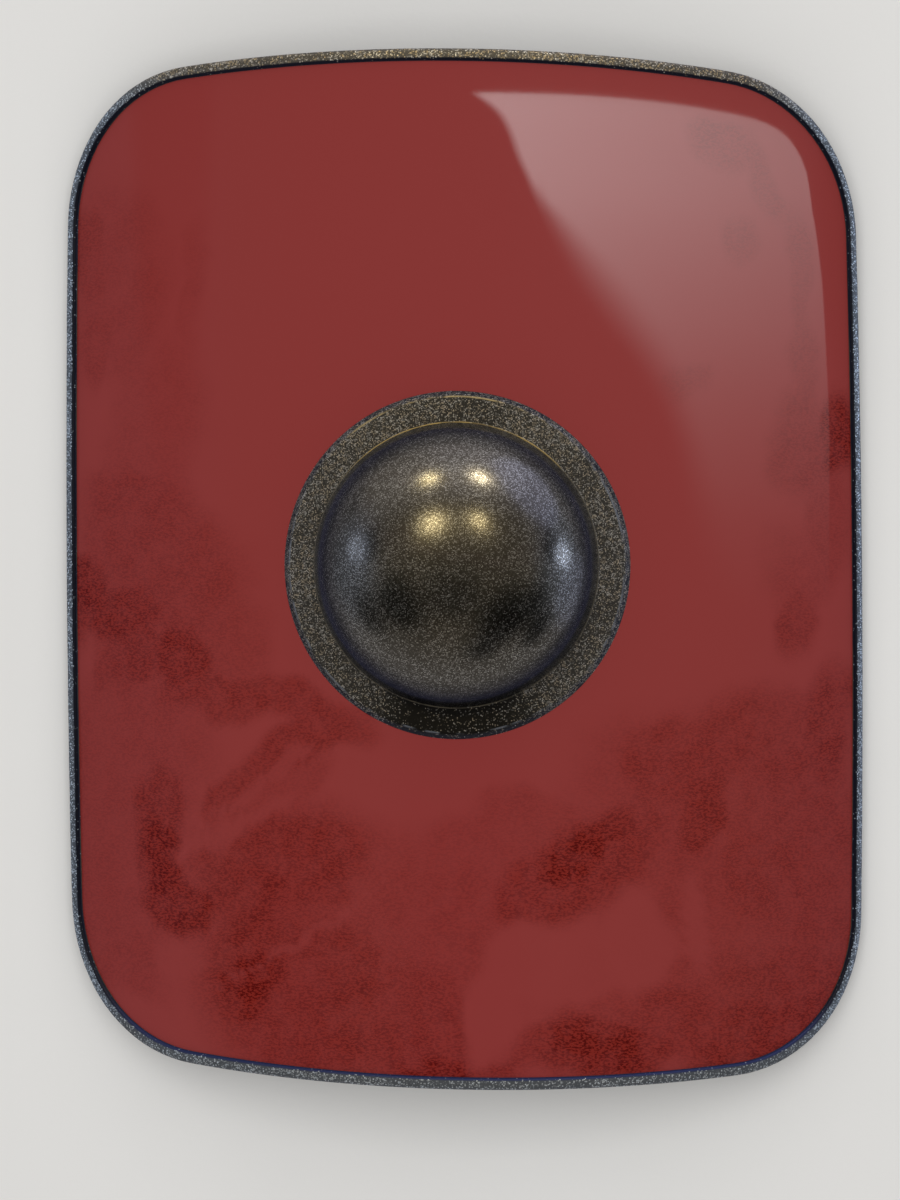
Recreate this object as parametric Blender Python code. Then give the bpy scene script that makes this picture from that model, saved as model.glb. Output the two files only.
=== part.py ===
"""Curved rectangular Roman shield, a foam-and-latex copy, lying on its back with the boss up.

Four pieces: board, rim, boss and grip.  Metres, +Z up; +Y is the shield's top edge, X its width.
The board is laid out flat first (u across, v up, n out of the face) and then bent round Y.
"""
import math

import bmesh
import bpy

# Overall size, measured over the rim
SHIELD_HEIGHT = 0.850
SHIELD_WIDTH = 0.7105           # along the bend, from side edge to side edge
BEND_RADIUS = 0.600             # of the red face, round an axis along Y
TOP_BOW_RADIUS = 2.49           # the top and bottom edges bow out a little
SIDE_BOW_RADIUS = 11.4          # the side edges are nearly straight
CORNER_RADIUS = 0.1335
OUT_OF_SQUARE = -0.0129         # the hand-made outline leans, metres per metre

# Board
BOARD_THICKNESS = 0.012
HAND_HOLE_LEDGE = 0.009         # board left inside the boss's wall, all round the hand hole
BOARD_STRIP = 0.018             # widest flat strip of the bent board

# Rim, a soft channel pushed over the board's edge
RIM_WIDTH = 0.010               # as seen from the front
RIM_WALL = 0.0035               # outside the board's edge
RIM_PROUD_FRONT = 0.004
RIM_PROUD_BACK = 0.0045
RIM_FRONT_ROUND = 0.003
RIM_BACK_ROUND = 0.003
REST_FLAT_DEPTH = 0.001         # worn flat where the side rims stand on the ground

# Boss
BOSS_RISE = 0.003               # the boss, the hand hole and the grip sit this far above the middle
BOSS_FLANGE_WIDTH = 0.0262
BOSS_FLANGE_THICKNESS = 0.007
BOSS_EDGE_SLOPE = 0.0035        # the flange's edge leans out by this much
BOSS_EDGE_ROUND = 0.0015
DOME_RADIUS = 0.1160
DOME_HEIGHT = 0.085             # above the flange
DOME_FULLNESS = 2.2             # 2 is an ellipse, more is a steeper foot and a flatter top
DOME_WALL = 0.007

# Grip, a bar across the hand hole on the back
GRIP_HOLD_WIDTH = 0.032         # the rounded part that the hand holds
GRIP_HOLD_THICKNESS = 0.028
GRIP_HOLD_ROUND = 0.011
GRIP_NECK_LENGTH = 0.016        # from the held part to the pads, inside the hand hole
GRIP_NECK_CLEARANCE = 0.001     # from the pads' start to the hand hole's edge
GRIP_PAD_LENGTH = 0.056
GRIP_PAD_WIDTH = 0.046
GRIP_PAD_ROUND = 0.003
GRIP_END_THICKNESS = 0.0066     # of the pads where they are thinnest
GRIP_END_ROUND = 0.005

GAP = 0.0003                    # between pieces that touch

# Sizes that follow from the ones above
DOME_INNER_RADIUS = DOME_RADIUS - DOME_WALL
HAND_HOLE_RADIUS = DOME_INNER_RADIUS - HAND_HOLE_LEDGE
BOSS_RADIUS = DOME_RADIUS + BOSS_FLANGE_WIDTH

# How finely the curves are cut
BOW_STEPS = 13                  # half of the top edge
SIDE_STEPS = 3                  # half of a side edge
CORNER_STEPS = 9
ROUND_STEPS = 3
BOSS_STEPS = 64
BOSS_SEAT_STRIP = 0.011         # widest ring of the flange's underside, which follows the bend
DOME_STEPS = 9
HAND_HOLE_STEPS = 48
GRIP_PAD_STRIP = 0.014


def clear_scene():
    for item in list(bpy.data.objects):
        bpy.data.objects.remove(item)


def make_material(name, colour, roughness, metallic):
    material = bpy.data.materials.new(name)
    material.use_nodes = True
    shader = material.node_tree.nodes["Principled BSDF"]
    shader.inputs["Base Color"].default_value = (*colour, 1.0)
    shader.inputs["Roughness"].default_value = roughness
    shader.inputs["Metallic"].default_value = metallic
    return material


def add_object(name, mesh_data, material):
    """Make one object of a bmesh, facing out, with its own material."""
    bmesh.ops.recalc_face_normals(mesh_data, faces=mesh_data.faces[:])
    mesh = bpy.data.meshes.new(name)
    mesh_data.to_mesh(mesh)
    mesh_data.free()
    mesh.materials.append(material)
    mesh.shade_smooth()
    mesh.set_sharp_from_angle(angle=math.radians(35))
    item = bpy.data.objects.new(name, mesh)
    bpy.context.scene.collection.objects.link(item)
    return item


def arc_points(centre, radius, start, end, steps):
    """Points on an arc, its last point left out."""
    return [
        (
            centre[0] + radius * math.cos(start + (end - start) * i / steps),
            centre[1] + radius * math.sin(start + (end - start) * i / steps),
        )
        for i in range(steps)
    ]


def rounded_corner(centre, radius, start, end):
    """Points on the arc that rounds a section's corner, both ends included."""
    last = (centre[0] + radius * math.cos(end), centre[1] + radius * math.sin(end))
    return arc_points(centre, radius, start, end, ROUND_STEPS) + [last]


def corner_centre():
    """Centre of the upper right corner's arc, touching the top bow and the side bow."""
    top = (0.0, SHIELD_HEIGHT / 2 - TOP_BOW_RADIUS)
    side = (SHIELD_WIDTH / 2 - SIDE_BOW_RADIUS, 0.0)
    reach_top = TOP_BOW_RADIUS - CORNER_RADIUS
    reach_side = SIDE_BOW_RADIUS - CORNER_RADIUS
    apart = math.dist(top, side)
    along = (reach_top**2 - reach_side**2 + apart**2) / (2 * apart)
    across = math.sqrt(reach_top**2 - along**2)
    ux = (side[0] - top[0]) / apart
    uy = (side[1] - top[1]) / apart
    choices = [
        (top[0] + along * ux - turn * across * uy, top[1] + along * uy + turn * across * ux)
        for turn in (1, -1)
    ]
    return max(choices)


def outline(inset):
    """Closed flat outline (u, v), counter-clockwise, this far inside the rim's outer edge."""
    corner = corner_centre()
    top = (0.0, SHIELD_HEIGHT / 2 - TOP_BOW_RADIUS)
    side = (SHIELD_WIDTH / 2 - SIDE_BOW_RADIUS, 0.0)
    side_turn = math.atan2(corner[1] - side[1], corner[0] - side[0])
    top_turn = math.atan2(corner[1] - top[1], corner[0] - top[0])
    quarter = arc_points(side, SIDE_BOW_RADIUS - inset, 0.0, side_turn, SIDE_STEPS)
    quarter += arc_points(corner, CORNER_RADIUS - inset, side_turn, top_turn, CORNER_STEPS)
    quarter += arc_points(top, TOP_BOW_RADIUS - inset, top_turn, math.pi / 2, BOW_STEPS)
    top_middle = (0.0, SHIELD_HEIGHT / 2 - inset)
    mirrored = [(-u, v) for u, v in reversed(quarter[1:])]
    upper_half = quarter + [top_middle] + mirrored
    lower_half = [(-u, -v) for u, v in upper_half]
    return [lean(u, v) for u, v in upper_half + lower_half]


def lean(u, v):
    return u + OUT_OF_SQUARE * v, v + OUT_OF_SQUARE * u


def bend(u, v, n):
    """Place of a point of the flat layout on the bent shield, with the face's middle at z = 0."""
    angle = u / BEND_RADIUS
    radius = BEND_RADIUS + n
    return radius * math.sin(angle), v, radius * math.cos(angle) - BEND_RADIUS


def bent_level(x, n):
    """Height at x of the bent surface that lies n outside the red face."""
    return math.sqrt((BEND_RADIUS + n) ** 2 - x**2) - BEND_RADIUS


def loft(rings, closed):
    """Skin rings of equal length; closed joins the last ring to the first, else both are capped."""
    mesh_data = bmesh.new()
    rows = [[mesh_data.verts.new(point) for point in ring] for ring in rings]
    pairs = list(zip(rows, rows[1:]))
    if closed:
        pairs.append((rows[-1], rows[0]))
    for first, second in pairs:
        for i in range(len(first)):
            j = (i + 1) % len(first)
            mesh_data.faces.new((first[i], first[j], second[j], second[i]))
    if not closed:
        mesh_data.faces.new(rows[0])
        mesh_data.faces.new(rows[-1])
    return mesh_data


def flat_board():
    """The board laid out flat, with its hand hole cut right through."""
    edge = outline(RIM_WALL + GAP)
    rings = [[(u, v, n) for u, v in edge] for n in (-BOARD_THICKNESS, 0.0)]
    board = add_object("board", loft(rings, closed=False), board_material())
    hole_rings = []
    for n in (-2 * BOARD_THICKNESS, BOARD_THICKNESS):
        circle = arc_points((0.0, BOSS_RISE), HAND_HOLE_RADIUS, 0.0, 2 * math.pi, HAND_HOLE_STEPS)
        hole_rings.append([(u, v, n) for u, v in circle])
    cutter = add_object("hand_hole_cutter", loft(hole_rings, closed=False), cutter_material())
    cutter.hide_render = True
    cutter.display_type = "WIRE"
    cut = board.modifiers.new("hand_hole", "BOOLEAN")
    cut.operation = "DIFFERENCE"
    cut.solver = "EXACT"
    cut.object = cutter
    bpy.context.view_layer.update()
    cut_mesh = bpy.data.meshes.new_from_object(board.evaluated_get(bpy.context.evaluated_depsgraph_get()))
    board.modifiers.clear()
    board.data = cut_mesh
    bpy.data.objects.remove(cutter)
    return board


def make_board():
    """Cut the flat board into narrow strips and bend it."""
    board = flat_board()
    mesh_data = bmesh.new()
    mesh_data.from_mesh(board.data)
    reach = max(vert.co.x for vert in mesh_data.verts)
    strips = 2 * math.ceil(reach / BOARD_STRIP)
    for i in range(1, strips):
        cut_u = -reach + 2 * reach * i / strips
        bmesh.ops.bisect_plane(
            mesh_data,
            geom=mesh_data.verts[:] + mesh_data.edges[:] + mesh_data.faces[:],
            dist=0.00001,
            plane_co=(cut_u, 0.0, 0.0),
            plane_no=(1.0, 0.0, 0.0),
        )
    for vert in mesh_data.verts:
        vert.co = bend(*vert.co)
    bmesh.ops.triangulate(mesh_data, faces=mesh_data.faces[:])
    bmesh.ops.recalc_face_normals(mesh_data, faces=mesh_data.faces[:])
    mesh_data.to_mesh(board.data)
    mesh_data.free()
    board.data.shade_smooth()
    board.data.set_sharp_from_angle(angle=math.radians(35))
    return board


def rim_section():
    """The rim's section as (inset from the outer edge, height n), a channel open towards the board."""
    front = RIM_PROUD_FRONT
    back = -BOARD_THICKNESS - RIM_PROUD_BACK
    front_round = min(RIM_FRONT_ROUND, 0.45 * RIM_WIDTH, 0.8 * RIM_PROUD_FRONT)
    back_round = min(RIM_BACK_ROUND, 0.45 * RIM_WIDTH, 0.8 * RIM_PROUD_BACK)
    turn = math.pi / 2
    section = rounded_corner((front_round, front - front_round), front_round, 2 * turn, turn)
    section += rounded_corner((RIM_WIDTH - front_round, front - front_round), front_round, turn, 0.0)
    section.append((RIM_WIDTH, GAP))
    section.append((RIM_WALL, GAP))
    section.append((RIM_WALL, -BOARD_THICKNESS - GAP))
    section.append((RIM_WIDTH, -BOARD_THICKNESS - GAP))
    section += rounded_corner((RIM_WIDTH - back_round, back + back_round), back_round, 0.0, -turn)
    section += rounded_corner((back_round, back + back_round), back_round, -turn, -2 * turn)
    return section


def make_rim():
    """Run the section round the outline, bend it, and cut the rest flats; return it and the floor."""
    section = rim_section()
    edges = [outline(inset) for inset, n in section]
    rings = []
    for i in range(len(edges[0])):
        rings.append([bend(*edge[i], n) for edge, (inset, n) in zip(edges, section)])
    mesh_data = loft(rings, closed=True)
    floor = min(vert.co.z for vert in mesh_data.verts) + REST_FLAT_DEPTH
    cut = bmesh.ops.bisect_plane(
        mesh_data,
        geom=mesh_data.verts[:] + mesh_data.edges[:] + mesh_data.faces[:],
        dist=0.00001,
        plane_co=(0.0, 0.0, floor),
        plane_no=(0.0, 0.0, 1.0),
        clear_inner=True,
    )
    cut_edges = [item for item in cut["geom_cut"] if isinstance(item, bmesh.types.BMEdge)]
    bmesh.ops.holes_fill(mesh_data, edges=cut_edges)
    return add_object("rim", mesh_data, rim_material()), floor


def dome_profile(radius, height, base, steps):
    """Points (radius, height) up a full dome from its foot to just below its crown."""
    power = 2 / DOME_FULLNESS
    points = []
    for i in range(steps):
        turn = math.pi / 2 * i / steps
        points.append((radius * math.cos(turn) ** power, base + height * math.sin(turn) ** power))
    return points


def boss_profile():
    """The boss's rows as (radius, height n), from the crown outside round to the crown inside."""
    flange = BOSS_FLANGE_THICKNESS
    outside = dome_profile(DOME_RADIUS, DOME_HEIGHT, flange, DOME_STEPS)
    inside = dome_profile(DOME_INNER_RADIUS, DOME_HEIGHT - DOME_WALL, flange, DOME_STEPS - 1)
    edge_top = BOSS_RADIUS - BOSS_EDGE_SLOPE
    rows = list(reversed(outside))
    rows.append(((DOME_RADIUS + edge_top) / 2, flange))
    rows.append((edge_top - BOSS_EDGE_ROUND, flange))
    rows.append((edge_top, flange - BOSS_EDGE_ROUND))
    seat_width = BOSS_RADIUS - DOME_INNER_RADIUS
    seat_steps = math.ceil(seat_width / BOSS_SEAT_STRIP)
    for i in range(seat_steps + 1):
        rows.append((BOSS_RADIUS - seat_width * i / seat_steps, GAP))
    rows += inside
    return rows


def boss_point(radius, n, turn):
    """The flange follows the bent board; the dome loses that bend towards its crown."""
    x = radius * math.cos(turn)
    y = BOSS_RISE + radius * math.sin(turn)
    above_flange = max(0.0, n - BOSS_FLANGE_THICKNESS)
    follow = 1 - above_flange / DOME_HEIGHT
    return x, y, follow * bent_level(x, n) + (1 - follow) * n


def make_boss():
    mesh_data = bmesh.new()
    rows = []
    for radius, n in boss_profile():
        turns = [2 * math.pi * i / BOSS_STEPS for i in range(BOSS_STEPS)]
        rows.append([mesh_data.verts.new(boss_point(radius, n, turn)) for turn in turns])
    crown_n = BOSS_FLANGE_THICKNESS + DOME_HEIGHT
    crown_outside = mesh_data.verts.new((0.0, BOSS_RISE, crown_n))
    crown_inside = mesh_data.verts.new((0.0, BOSS_RISE, crown_n - DOME_WALL))
    for first, second in zip(rows, rows[1:]):
        for i in range(BOSS_STEPS):
            j = (i + 1) % BOSS_STEPS
            mesh_data.faces.new((first[i], first[j], second[j], second[i]))
    for i in range(BOSS_STEPS):
        j = (i + 1) % BOSS_STEPS
        mesh_data.faces.new((crown_outside, rows[0][i], rows[0][j]))
        mesh_data.faces.new((crown_inside, rows[-1][j], rows[-1][i]))
    return add_object("boss", mesh_data, boss_material())


def grip_section(x, half_width, low, high, rounding):
    """One rounded-rectangle section of the grip at x, from depth low to height high."""
    turn = math.pi / 2
    side = half_width - rounding
    points = rounded_corner((side, high - rounding), rounding, 0.0, turn)
    points += rounded_corner((-side, high - rounding), rounding, turn, 2 * turn)
    points += rounded_corner((-side, low + rounding), rounding, 2 * turn, 3 * turn)
    points += rounded_corner((side, low + rounding), rounding, 3 * turn, 4 * turn)
    return [(x, BOSS_RISE + y, z) for y, z in points]


def make_grip():
    """A straight bar: round where it is held, its ends fitted to the bent back of the board."""
    seat = -BOARD_THICKNESS - GAP
    pad_half = GRIP_PAD_WIDTH / 2
    hole_edge = bend(math.sqrt(HAND_HOLE_RADIUS**2 - pad_half**2), pad_half, -BOARD_THICKNESS)[0]
    pad_start = hole_edge - GRIP_NECK_CLEARANCE
    hold_end = pad_start - GRIP_NECK_LENGTH
    grip_end = pad_start + GRIP_PAD_LENGTH
    back = bent_level(grip_end, seat) - GRIP_END_THICKNESS
    hold_top = back + GRIP_HOLD_THICKNESS
    hold_round = min(GRIP_HOLD_ROUND, 0.45 * GRIP_HOLD_WIDTH, 0.45 * GRIP_HOLD_THICKNESS)
    pad_round = min(GRIP_PAD_ROUND, 0.45 * GRIP_END_THICKNESS)
    right_half = [
        grip_section(0.0, GRIP_HOLD_WIDTH / 2, back, hold_top, hold_round),
        grip_section(hold_end, GRIP_HOLD_WIDTH / 2, back, hold_top, hold_round),
    ]
    pad_steps = math.ceil(GRIP_PAD_LENGTH / GRIP_PAD_STRIP)
    for i in range(pad_steps + 1):
        x = pad_start + (GRIP_PAD_LENGTH - GRIP_END_ROUND) * i / pad_steps
        right_half.append(grip_section(x, pad_half, back, bent_level(x, seat), pad_round))
    right_half.append(
        grip_section(grip_end, pad_half - GRIP_END_ROUND, back, bent_level(grip_end, seat), pad_round)
    )
    left_half = [[(-x, y, z) for x, y, z in ring] for ring in reversed(right_half[1:])]
    return add_object("grip", loft(left_half + right_half, closed=False), grip_material())


def board_material():
    return make_material("red_latex", (0.22, 0.034, 0.035), 0.45, 0.0)


def rim_material():
    return make_material("rim_gunmetal_paint", (0.035, 0.034, 0.036), 0.40, 0.5)


def boss_material():
    return make_material("boss_gunmetal_paint", (0.045, 0.044, 0.046), 0.35, 0.5)


def grip_material():
    return make_material("grip_leather", (0.030, 0.018, 0.012), 0.60, 0.0)


def cutter_material():
    return make_material("cutter", (0.5, 0.5, 0.5), 0.5, 0.0)


def main():
    clear_scene()
    rim, floor = make_rim()
    pieces = [make_board(), rim, make_boss(), make_grip()]
    for piece in pieces:
        piece.location.z = -floor


main()
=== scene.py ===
import math

import bmesh
import bpy
from mathutils import Matrix, Vector, noise


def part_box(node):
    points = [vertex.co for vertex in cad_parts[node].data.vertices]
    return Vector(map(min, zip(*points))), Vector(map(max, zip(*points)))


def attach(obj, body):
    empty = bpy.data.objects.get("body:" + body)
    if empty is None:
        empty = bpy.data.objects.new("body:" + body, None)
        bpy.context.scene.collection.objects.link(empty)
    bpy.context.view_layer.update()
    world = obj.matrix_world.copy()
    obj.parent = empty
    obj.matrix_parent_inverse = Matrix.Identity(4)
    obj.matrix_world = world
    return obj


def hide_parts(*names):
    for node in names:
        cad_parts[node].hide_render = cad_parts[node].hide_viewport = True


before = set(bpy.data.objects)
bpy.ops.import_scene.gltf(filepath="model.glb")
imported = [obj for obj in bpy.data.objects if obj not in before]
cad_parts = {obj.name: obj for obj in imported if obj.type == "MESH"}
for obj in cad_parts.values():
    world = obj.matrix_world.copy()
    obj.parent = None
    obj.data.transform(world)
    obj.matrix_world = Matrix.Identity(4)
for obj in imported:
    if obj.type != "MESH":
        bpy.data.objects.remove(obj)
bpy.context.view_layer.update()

# The CAD source's sizes, in metres: overall and board
SHIELD_HEIGHT = 0.850
SHIELD_WIDTH = 0.7105
BEND_RADIUS = 0.600
TOP_BOW_RADIUS = 2.49
SIDE_BOW_RADIUS = 11.4
CORNER_RADIUS = 0.1335
OUT_OF_SQUARE = -0.0129
BOARD_THICKNESS = 0.012
HAND_HOLE_RADIUS = 0.100
GAP = 0.0003
FACE_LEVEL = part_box("board")[1].z   # the highest line of the red face

# Rim
RIM_WIDTH = 0.010
RIM_WALL = 0.0035
RIM_PROUD_FRONT = 0.004
RIM_PROUD_BACK = 0.0045
RIM_FRONT_ROUND = 0.003
RIM_BACK_ROUND = 0.003
RIM_WOBBLE = 0.00025                # hand-painted foam isn't quite even
RIM_WOBBLE_WAVES = 40               # noise waves in a metre
RIM_WALL_TOP = RIM_PROUD_FRONT - RIM_FRONT_ROUND    # where the rounding starts
RIM_WALL_MIDDLE = 0.0008            # a row part way down the inner wall
RIM_NARROWER_RIGHT = 0.15           # share by which the rim is narrower along the right side
RIM_NARROWER_SPAN = (0.29, 0.34)    # where that comes in, in metres from the middle

# Boss
BOSS_RISE = 0.003
BOSS_FLANGE_WIDTH = 0.0262
BOSS_FLANGE_THICKNESS = 0.007
BOSS_EDGE_SLOPE = 0.0035
BOSS_EDGE_ROUND = 0.0015
DOME_RADIUS = 0.1160
DOME_HEIGHT = 0.085
DOME_FULLNESS = 2.2
DOME_WALL = 0.007
BOSS_RADIUS = DOME_RADIUS + BOSS_FLANGE_WIDTH
FOOT_BEAD_HALF = 0.0008             # half the width of the raised line round the dome's foot
FOOT_BEAD_HEIGHT = 0.0006
FOOT_BEAD_START = DOME_RADIUS - 0.0004
FOOT_BEAD = ((0.0, 0.0), (0.8, 1.0), (1.0, 1.0), (0.8, 1.0), (0.0, 0.0))    # (height, gold) shares
FLANGE_EDGE_BLEND = 0.0007          # the bright line on the flange's edge fades in over this
FLANGE_FOOT_INSET = 0.0003

# Grip
GRIP_HOLD_WIDTH = 0.032
GRIP_HOLD_THICKNESS = 0.028
GRIP_HOLD_ROUND = 0.011
GRIP_NECK_LENGTH = 0.016
GRIP_NECK_CLEARANCE = 0.001
GRIP_PAD_LENGTH = 0.056
GRIP_PAD_WIDTH = 0.046
GRIP_PAD_ROUND = 0.003
GRIP_END_THICKNESS = 0.0066
GRIP_END_ROUND = 0.005
GRIP_ROUND_SHARE = 0.45             # a thin pad's rounding, as a share of its thickness
GRIP_HELD_ROUND = 0.005             # where the bar is rounded more than this a hand polishes it

# How finely the looks are cut
BOARD_EDGE_ROUND = 0.0008
BOW_STEPS = 34
SIDE_STEPS = 26
CORNER_STEPS = 20
ROUND_STEPS = 8
FACE_RINGS = 84
BACK_RINGS = 20
BOSS_STEPS = 180
DOME_STEPS = 44
FLANGE_STEPS = 8
FLANGE_ROUND_STEPS = 4
BOSS_BACK_STEPS = 5
GRIP_BAR_STEPS = 12
GRIP_NECK_STEPS = 6
GRIP_END_STEPS = 5
SHARP_EDGE = math.radians(35)

# How the edging is painted
RIM_BLUE_SHEEN_SPAN = (0.24, 0.32)        # where its painted bluish sheen comes in, in metres left or right of the middle
RIM_LOW_SPAN = (-0.36, -0.40)       # where the colours of its bottom start, in metres of height
RIM_BRUSHED_SPAN = (0.84, 0.68)     # from the dark inner wall, partly painted shade, to brushed light, as shares of its width
RIM_BRUSHED_SHIFT = 0.03            # how much further out that is where it has the painted bluish sheen
RIM_BRUSHED_SIDE = 0.7
RIM_BRUSHED_BACK = 0.3

# How the boss is painted, with its painted shade and glints
SHADE_BAND_START = 0.905                  # where the dome's painted shade band starts, as a share of its radius
SHADE_BAND_START_SWING = 0.050            # later by this at the top, sooner at the bottom
SHADE_BAND_DEPTH = 0.66
SHADE_BAND_DEPTH_SWING = 0.28             # less deep by this at the top, deeper at the bottom
FLANGE_SHADE_TOP = 0.30                     # how deep the painted shade on the flange's top is, its bottom being 1
FLANGE_SHADE_TOP_SPAN = (0.60, 0.15)        # where that comes in, in radians from the top
FLANGE_SHADE_BOTTOM_SPAN = (0.75, 0.25)     # the same, from the bottom
TOP_GLINT_SPAN = (0.55, 0.85)           # where the painted warm glint along the top comes in, by the sine of the direction
EDGE_LINE_FADE = 0.35               # what the line on the flange's edge loses at each row

# How fine the bright flecks are, in cells to a metre
RIM_FLECKS = 860
BOSS_FLECKS = 1040
INSIDE_FLECKS = 640

# Worn, darker and grained patches of the red skin: middle (u, v), half sizes, tilt in degrees, depth
WORN_PATCHES = (
    ((-0.300, 0.235), (0.060, 0.100), 0, 0.24),
    ((-0.335, 0.265), (0.026, 0.036), 0, 0.38),
    ((-0.335, 0.190), (0.020, 0.050), 0, 0.34),
    ((-0.262, 0.120), (0.055, 0.080), 0, 0.20),
    ((-0.228, 0.230), (0.010, 0.070), 0, 0.14),
    ((-0.280, 0.045), (0.070, 0.052), 0, 0.42),
    ((-0.262, -0.010), (0.095, 0.070), 0, 0.42),
    ((-0.335, -0.020), (0.036, 0.040), 0, 0.85),
    ((-0.300, -0.040), (0.050, 0.026), -14, 0.80),
    ((-0.240, -0.075), (0.038, 0.034), -30, 0.82),
    ((-0.290, -0.075), (0.040, 0.030), 20, 0.60),
    ((-0.200, -0.050), (0.045, 0.060), 25, 0.30),
    ((-0.205, -0.105), (0.075, 0.026), 0, 0.58),
    ((-0.120, -0.118), (0.065, 0.024), -22, 0.52),
    ((-0.140, -0.155), (0.090, 0.022), 31, 0.54),
    ((-0.190, -0.185), (0.030, 0.020), 50, 0.50),
    ((-0.145, -0.192), (0.062, 0.020), 32, 0.30),
    ((-0.290, -0.160), (0.095, 0.100), 0, 0.30),
    ((-0.258, -0.205), (0.034, 0.045), -8, 0.66),
    ((-0.262, -0.240), (0.028, 0.050), 12, 0.92),
    ((-0.242, -0.275), (0.036, 0.026), -22, 0.84),
    ((-0.300, -0.290), (0.075, 0.120), 0, 0.30),
    ((-0.150, -0.250), (0.105, 0.055), 8, 0.56),
    ((-0.110, -0.245), (0.045, 0.045), 0, 0.62),
    ((-0.165, -0.290), (0.050, 0.040), 30, 0.66),
    ((-0.145, -0.330), (0.095, 0.095), 20, 0.50),
    ((-0.170, -0.345), (0.042, 0.036), 40, 0.88),
    ((-0.092, -0.355), (0.040, 0.090), 0, 0.60),
    ((-0.040, -0.310), (0.120, 0.105), 0, 0.32),
    ((-0.025, -0.360), (0.065, 0.050), 0, 0.48),
    ((0.030, -0.245), (0.110, 0.055), 8, 0.26),
    ((-0.050, -0.400), (0.150, 0.030), 0, 0.54),
    ((0.000, -0.412), (0.055, 0.016), 0, 0.92),
    ((0.105, -0.235), (0.042, 0.028), 35, 0.98),
    ((0.100, -0.245), (0.100, 0.046), 28, 0.60),
    ((0.060, -0.205), (0.060, 0.034), 0, 0.28),
    ((0.185, -0.165), (0.058, 0.052), 20, 0.52),
    ((0.205, -0.205), (0.026, 0.048), 0, 0.66),
    ((0.220, -0.220), (0.150, 0.120), 0, 0.36),
    ((0.270, -0.145), (0.090, 0.055), 0, 0.50),
    ((0.322, -0.135), (0.032, 0.060), 0, 0.62),
    ((0.300, -0.250), (0.070, 0.130), 0, 0.46),
    ((0.262, -0.250), (0.050, 0.050), 0, 0.50),
    ((0.220, -0.350), (0.160, 0.070), 0, 0.38),
    ((0.120, -0.395), (0.080, 0.036), 0, 0.80),
    ((0.128, -0.400), (0.052, 0.022), 0, 1.00),
    ((0.255, -0.385), (0.085, 0.036), 12, 0.70),
    ((0.210, -0.360), (0.080, 0.036), 0, 0.54),
    ((0.285, -0.350), (0.055, 0.045), 0, 0.58),
    ((0.290, 0.000), (0.042, 0.042), 0, 0.24),
    ((0.286, -0.040), (0.026, 0.036), -8, 0.46),
    ((0.332, 0.115), (0.018, 0.040), 0, 0.85),
    ((0.322, 0.040), (0.028, 0.070), 0, 0.28),
    ((0.296, 0.110), (0.040, 0.052), 0, 0.36),
    ((0.300, 0.178), (0.022, 0.036), 0, 0.26),
    ((0.221, 0.349), (0.026, 0.024), 0, 0.36),
    ((0.262, 0.322), (0.018, 0.052), 30, 0.30),
    ((0.236, 0.276), (0.020, 0.022), 0, 0.28),
    ((0.291, 0.245), (0.015, 0.050), 8, 0.26),
    ((0.191, 0.157), (0.022, 0.020), 0, 0.24),
)

# Strokes of the same red laid over the worn skin afterwards
CLEAN_STROKES = (
    ((0.030, -0.370), (0.026, 0.055), -10, 1.00),
    ((0.062, -0.318), (0.040, 0.034), 25, 0.95),
    ((0.095, -0.330), (0.045, 0.030), 20, 0.85),
    ((0.150, -0.300), (0.032, 0.048), -8, 0.95),
    ((0.200, -0.290), (0.016, 0.042), 0, 0.80),
    ((-0.275, -0.390), (0.085, 0.030), -28, 0.85),
    ((-0.232, -0.322), (0.030, 0.022), 20, 0.60),
    ((-0.195, -0.222), (0.070, 0.010), 25, 0.75),
    ((-0.155, -0.175), (0.055, 0.006), 33, 0.70),
    ((-0.130, -0.308), (0.110, 0.0030), 32, 0.55),
)

# How the patches' outlines wander, and how patches and strokes fade out
WEAR_WANDER = ((17, 0.016), (55, 0.007))        # (noise waves in a metre, reach in metres)
PATCH_FADE = (1.15, 0.55)           # from nothing to full, as shares of the patch's size
STROKE_FADE = (1.10, 0.70)

# Camera, as the photograph was taken
CAMERA_DISTANCE = 3.0
CAMERA_YAW = math.radians(3.0)
CAMERA_PITCH = math.radians(-0.17)
CAMERA_ROLL = -0.0032
CAMERA_LENS = 110.2
CAMERA_SHIFT = (-0.0050, -0.0261)

# The long softbox, by where its mirror image lies on the face, row by row from the top
SOFTBOX_ROWS = (
    # (height v, left edge, where its left side is fully bright, right edge, brightness)
    (0.389, 0.009, 0.012, 0.299, 1.00),
    (0.375, 0.028, 0.031, 0.3005, 1.00),
    (0.360, 0.038, 0.041, 0.3015, 0.97),
    (0.336, 0.047, 0.050, 0.303, 0.93),
    (0.320, 0.0545, 0.062, 0.304, 0.90),
    (0.303, 0.061, 0.076, 0.305, 0.85),
    (0.287, 0.068, 0.094, 0.308, 0.78),
    (0.270, 0.075, 0.112, 0.311, 0.71),
    (0.237, 0.090, 0.146, 0.3155, 0.59),
    (0.205, 0.112, 0.172, 0.318, 0.49),
    (0.172, 0.138, 0.192, 0.320, 0.375),
    (0.139, 0.160, 0.203, 0.322, 0.275),
    (0.106, 0.173, 0.213, 0.323, 0.195),
    (0.073, 0.180, 0.224, 0.323, 0.135),
    (0.040, 0.186, 0.232, 0.323, 0.072),
    (0.008, 0.192, 0.240, 0.323, 0.038),
    (-0.025, 0.198, 0.246, 0.323, 0.008),
    (-0.045, 0.202, 0.250, 0.323, 0.000),
)
SOFTBOX_SHOULDER = 0.303            # above this height its upper right corner droops like the shield's
SOFTBOX_DROOP = ((0.024, 2.5), (0.032, 20))     # (metres, power by which it grows rightwards)
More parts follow.
